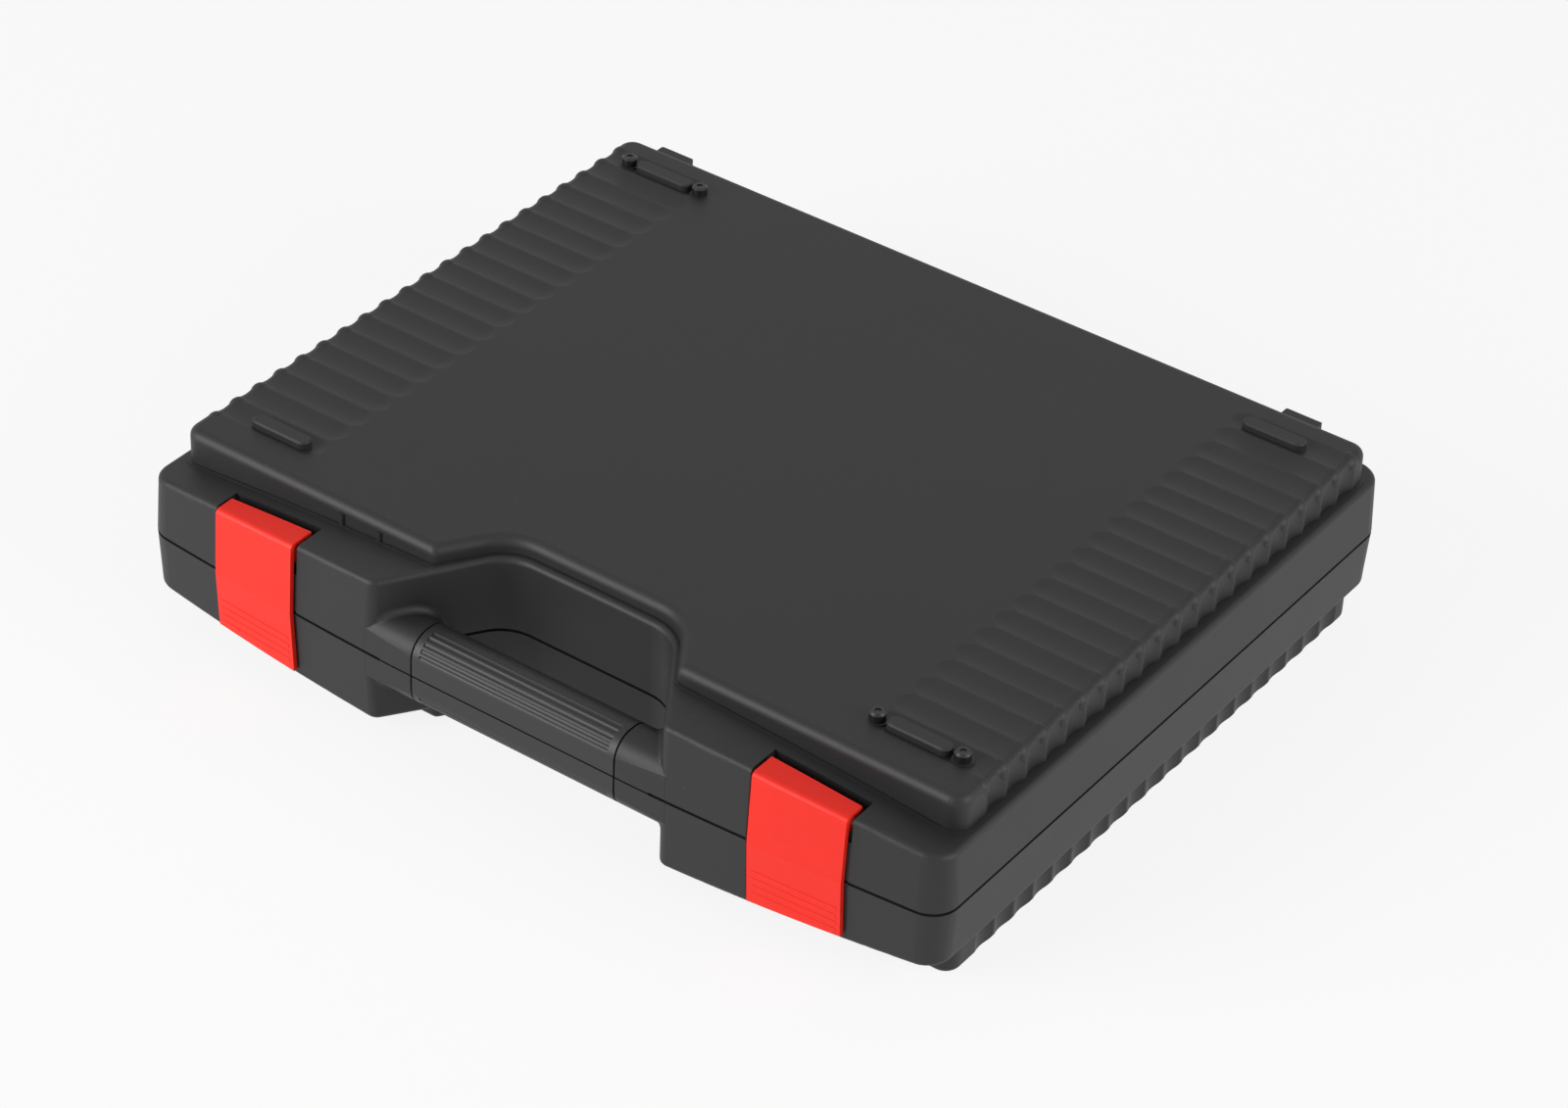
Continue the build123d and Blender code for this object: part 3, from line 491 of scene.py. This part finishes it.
def arm_outline(handle, low, high, parting):
    """Points and outward directions round the upper half of an arm, from its front corner to the reveal."""
    corner = handle.arm_corner
    turns = [(low.y + corner, -turn) for turn in range(ARM_FRONT_TURN, -1, -ARM_TURN_STEP)]
    turns += [(high.y - corner, turn) for turn in range(0, ARM_BACK_TURN + 1, ARM_TURN_STEP)]
    points = []
    for y, turn in turns:
        away = Vector((0.0, sin(radians(turn)), cos(radians(turn))))
        points.append((Vector((0.0, y, high.z - corner)) + away * corner, away))
    foot = Vector((0.0, high.y, parting + REVEAL_HALF))
    points.append((foot, Vector((0.0, 1.0, 0.0))))
    return points


def add_arm_root(shape, handle, low, high, parting, side, flip):
    """Round between an arm and the wall of the finger opening, closed behind its curved face."""
    axis_y = (low.y + high.y) / 2
    wall_out = Vector((-1.0, -handle.opening_flare, 0.0)).normalized()
    inward = Vector((-1.0, 0.0, 0.0))
    sections = []
    for number, (point, away) in enumerate(arm_outline(handle, low, high, parting)):
        reach = handle.root_round * min(1.0, (number + 1) / ARM_FADE_SECTIONS)
        up_wall = (away - wall_out * away.dot(wall_out)).normalized()
        half_angle = up_wall.angle(inward) / 2
        start = Vector((handle.opening_half + handle.opening_flare * (axis_y - point.y), point.y, point.z))
        middle = (up_wall + inward).normalized()
        centre = start + middle * (reach / sin(half_angle))
        touch = reach * cos(half_angle) / sin(half_angle)
        first = (start + up_wall * touch - centre).normalized()
        last = (start + inward * touch - centre).normalized()
        curve = [centre + first.slerp(last, step / ARM_ROUND_STEPS) * reach
                 for step in range(ARM_ROUND_STEPS + 1)]
        curve.append(start - middle * ROOT_SINK)
        section = []
        for spot in curve:
            z = 2 * parting - spot.z if flip else spot.z
            section.append(shape.verts.new((side * spot.x, spot.y, z)))
        sections.append(section)
    for section, following in zip(sections, sections[1:]):
        for n in range(len(section)):
            m = (n + 1) % len(section)
            shape.faces.new((section[n], section[m], following[m], following[n]))
    shape.faces.new(sections[0])
    shape.faces.new(reversed(sections[-1]))


class CASE_OT_shells(bpy.types.Operator):
    """Give the lid and the base their grained plastic"""

    bl_idname = "case.shells"
    bl_label = "Finish the shells"

    def execute(self, context):
        scene = context.scene
        dress(moulded_shell(scene.case_colours.shell, scene.case_grain), "base_shell", "lid_shell")
        return {"FINISHED"}


class CASE_OT_arm_roots(bpy.types.Operator):
    """Round the handle's arms into the body"""

    bl_idname = "case.arm_roots"
    bl_label = "Round the arms' roots"

    def execute(self, context):
        handle = context.scene.case_handle
        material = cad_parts["lid_shell"].data.materials[0]
        low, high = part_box("grip_upper")
        parting = (low.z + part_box("grip_lower")[1].z) / 2
        for body, flip in (("lid", False), ("base", True)):
            shape = bmesh.new()
            for side in (-1, 1):
                add_arm_root(shape, handle, low, high, parting, side, flip)
            bmesh.ops.recalc_face_normals(shape, faces=shape.faces)
            roots = linked_piece(f"{body}_arm_roots", finished_mesh(shape, f"{body}_arm_roots"), material)
            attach(roots, body)
        return {"FINISHED"}


class CASE_OT_grip(bpy.types.Operator):
    """Give the two halves of the handle's cover their soft plastic"""

    bl_idname = "case.grip"
    bl_label = "Finish the grip"

    def execute(self, context):
        scene = context.scene
        dress(fluted_grip(scene.case_colours.grip, scene.case_grain), "grip_upper", "grip_lower")
        return {"FINISHED"}


class CASE_OT_latches(bpy.types.Operator):
    """Give both latches their red plastic"""

    bl_idname = "case.latches"
    bl_label = "Finish the latches"

    def execute(self, context):
        scene = context.scene
        material = red_latch(scene.case_colours.latch, scene.case_grain)
        dress(material, *(f"latch_{side}" for side in LEFT_AND_RIGHT))
        return {"FINISHED"}


class CASE_OT_hinges(bpy.types.Operator):
    """Finish the hinge leaves, their pins and rivets, and the latch pins"""

    bl_idname = "case.hinges"
    bl_label = "Finish the hinges and pins"

    def execute(self, context):
        scene = context.scene
        leaves = [f"hinge_leaf_{half}_{side}" for half in ("lid", "base") for side in LEFT_AND_RIGHT]
        pins = [f"{kind}_pin_{side}" for kind in ("hinge", "latch") for side in LEFT_AND_RIGHT]
        dress(hinge_plastic(scene.case_colours.hinge, scene.case_grain), *leaves)
        dress(turned_steel(scene.case_colours.steel), "hinge_rivets_lid", "hinge_rivets_base", *pins)
        return {"FINISHED"}


class CASE_OT_pegs(bpy.types.Operator):
    """Finish the stacking pegs on the lid"""

    bl_idname = "case.pegs"
    bl_label = "Finish the stacking pegs"

    def execute(self, context):
        pegs = sorted(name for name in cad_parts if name.startswith("stacking_peg_"))
        if not pegs:
            raise RuntimeError("the lid has no stacking pegs")
        dress(smooth_peg(context.scene.case_colours.peg), *pegs)
        return {"FINISHED"}


class CASE_OT_base_foam(bpy.types.Operator):
    """Lay the three foam sheets in the base"""

    bl_idname = "case.base_foam"
    bl_label = "Lay the base's foam"

    def execute(self, context):
        scene = context.scene
        foam = scene.case_foam
        dark = open_cell_foam("foam_grey", scene.case_colours.foam_dark, scene.case_grain)
        light = open_cell_foam("foam_floor_finish", scene.case_colours.foam_light, scene.case_grain)
        sheets = (
            ("foam_insert", dark, "foam_grey"),
            ("foam_floor", light, "foam_light"),
            ("foam_backing", dark, "foam_grey"),
        )
        for node, material, slot in sheets:
            mesh = sheet_mesh(node, f"cut_{node}", foam.edge_round)
            foam_piece(f"cut_{node}", mesh, material, node, "base")
        return {"FINISHED"}


class CASE_OT_lid_foam(bpy.types.Operator):
    """Fix the foam with its rows of peaks under the lid"""

    bl_idname = "case.lid_foam"
    bl_label = "Fix the lid's foam"

    def execute(self, context):
        scene = context.scene
        foam = scene.case_foam
        low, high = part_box("lid_foam")
        root = high.z - foam.slab
        shape = top_face_slab("lid_foam", foam.slab, foam.edge_round)
        add_peaks(shape, peak_spots("lid_foam"), root, low.z, foam.peak_pitch, foam.peak_step)
        mesh = finished_mesh(shape, "peaked_lid_foam")
        material = open_cell_foam("foam_light", scene.case_colours.foam_light, scene.case_grain)
        foam_piece("peaked_lid_foam", mesh, material, "lid_foam", "lid")
        return {"FINISHED"}


def softbox(name, turn, rise, size, power):
    """Square area light that faces the case from a turn right of the front and a rise, in degrees."""
    flat = LAMP_DISTANCE * cos(radians(rise))
    height = AIM_HEIGHT + LAMP_DISTANCE * sin(radians(rise))
    place = Vector((flat * sin(radians(turn)), -flat * cos(radians(turn)), height))
    light = bpy.data.lights.new(name, "AREA")
    light.shape = "SQUARE"
    light.size = size
    light.energy = power
    lamp = bpy.data.objects.new(name, light)
    bpy.context.scene.collection.objects.link(lamp)
    lamp.location = place
    lamp.rotation_euler = (Vector((0.0, 0.0, AIM_HEIGHT)) - place).to_track_quat("-Z", "Y").to_euler()


def photo_camera():
    """Camera in the photograph's place."""
    camera = bpy.data.cameras.new("photo_camera")
    camera.sensor_width = SENSOR_WIDTH
    camera.lens = PHOTO_FOCAL * SENSOR_WIDTH / PHOTO_WIDTH
    camera.clip_start = CLIP_START
    ahead = Vector((
        -sin(CAMERA_TURN) * cos(CAMERA_TILT),
        cos(CAMERA_TURN) * cos(CAMERA_TILT),
        -sin(CAMERA_TILT),
    ))
    level = Vector((cos(CAMERA_TURN), sin(CAMERA_TURN), 0.0))
    over = level.cross(ahead)
    right = level * cos(CAMERA_ROLL) + over * sin(CAMERA_ROLL)
    up = over * cos(CAMERA_ROLL) - level * sin(CAMERA_ROLL)
    holder = bpy.data.objects.new("photo_camera", camera)
    bpy.context.scene.collection.objects.link(holder)
    axes = Matrix((right, up, -ahead)).transposed().to_4x4()
    holder.matrix_world = Matrix.Translation(CAMERA_PLACE) @ axes
    bpy.context.scene.camera = holder


def pale_room(level):
    """Even grey light of that level, which the camera and reflections see at full strength."""
    world = bpy.data.worlds.new("studio")
    world.use_nodes = True
    recipe = Recipe(tree=world.node_tree)
    strength = recipe.rays_that_see() * (1.0 - level) + level
    light = recipe.node("ShaderNodeBackground", None, {"Color": ROOM_GREY, "Strength": strength})
    recipe.node("ShaderNodeOutputWorld", None, {"Surface": light})
    bpy.context.scene.world = world


def floor_finish(radius):
    """Matt white paper that fades into the pale room before its edge."""
    recipe = Recipe("floor_paper")
    reach = recipe.node("ShaderNodeVectorMath", {"operation": "LENGTH"}, [recipe.place()], output="Value")
    fade_start, fade_end = FLOOR_FADE
    fade = recipe.step(reach, low=fade_start * radius, high=fade_end * radius)
    paper = recipe.node("ShaderNodeBsdfDiffuse", None, {"Color": FLOOR_PAPER})
    glow = recipe.node("ShaderNodeEmission", None, {"Color": WHITE, "Strength": 1.0})
    lifted = recipe.node("ShaderNodeMixShader", None, [recipe.rays_that_see() * FLOOR_GLOW, paper, glow])
    clear = recipe.node("ShaderNodeBsdfTransparent")
    mixed = recipe.node("ShaderNodeMixShader", None, [fade, lifted, clear])
    recipe.node("ShaderNodeOutputMaterial", None, {"Surface": mixed})
    return recipe.material


class CASE_OT_stage(bpy.types.Operator):
    """Set the floor, the lights, the pale room and the camera"""

    bl_idname = "case.stage"
    bl_label = "Set the studio"

    def execute(self, context):
        studio = context.scene.case_studio
        shape = bmesh.new()
        bmesh.ops.create_circle(shape, cap_ends=True, segments=FLOOR_SIDES, radius=studio.floor_radius)
        mesh = bpy.data.meshes.new("floor")
        shape.to_mesh(mesh)
        shape.free()
        floor = linked_piece("floor", mesh, floor_finish(studio.floor_radius))
        for name, turn, rise, size in SOFTBOXES:
            softbox(f"{name}_softbox", turn, rise, size, getattr(studio, f"{name}_power"))
        pale_room(studio.sky)
        photo_camera()
        context.scene.view_settings.view_transform = "Standard"
        return {"FINISHED"}


class CASE_PT_panel(bpy.types.Panel):
    """Steps that dress the knife case"""

    bl_label = "Knife case"
    bl_idname = "CASE_PT_panel"
    bl_space_type = "VIEW_3D"
    bl_region_type = "UI"
    bl_category = "Knife case"

    def draw(self, context):
        for operator in STEPS:
            self.layout.operator(operator.bl_idname, text=operator.bl_label)
        for group_name in GROUPS:
            group = getattr(context.scene, group_name)
            box = self.layout.box()
            for value_name in group.__annotations__:
                box.prop(group, value_name)


GROUPS = {"case_colours": CaseColours, "case_grain": CaseGrain, "case_handle": CaseHandle,
          "case_foam": CaseFoam, "case_studio": CaseStudio}
STEPS = (CASE_OT_stage, CASE_OT_shells, CASE_OT_arm_roots, CASE_OT_grip, CASE_OT_latches, CASE_OT_hinges,
         CASE_OT_pegs, CASE_OT_base_foam, CASE_OT_lid_foam)


def register():
    for name, group in GROUPS.items():
        bpy.utils.register_class(group)
        setattr(bpy.types.Scene, name, PointerProperty(type=group))
    for operator in STEPS:
        bpy.utils.register_class(operator)
    bpy.utils.register_class(CASE_PT_panel)


def unregister():
    bpy.utils.unregister_class(CASE_PT_panel)
    for operator in reversed(STEPS):
        bpy.utils.unregister_class(operator)
    for name, group in GROUPS.items():
        delattr(bpy.types.Scene, name)
        bpy.utils.unregister_class(group)


def main():
    register()
    bpy.ops.case.stage()
    bpy.ops.case.shells()
    bpy.ops.case.arm_roots()
    bpy.ops.case.grip()
    bpy.ops.case.latches()
    bpy.ops.case.hinges()
    bpy.ops.case.pegs()
    bpy.ops.case.base_foam()
    bpy.ops.case.lid_foam()


if __name__ == "__main__":
    main()
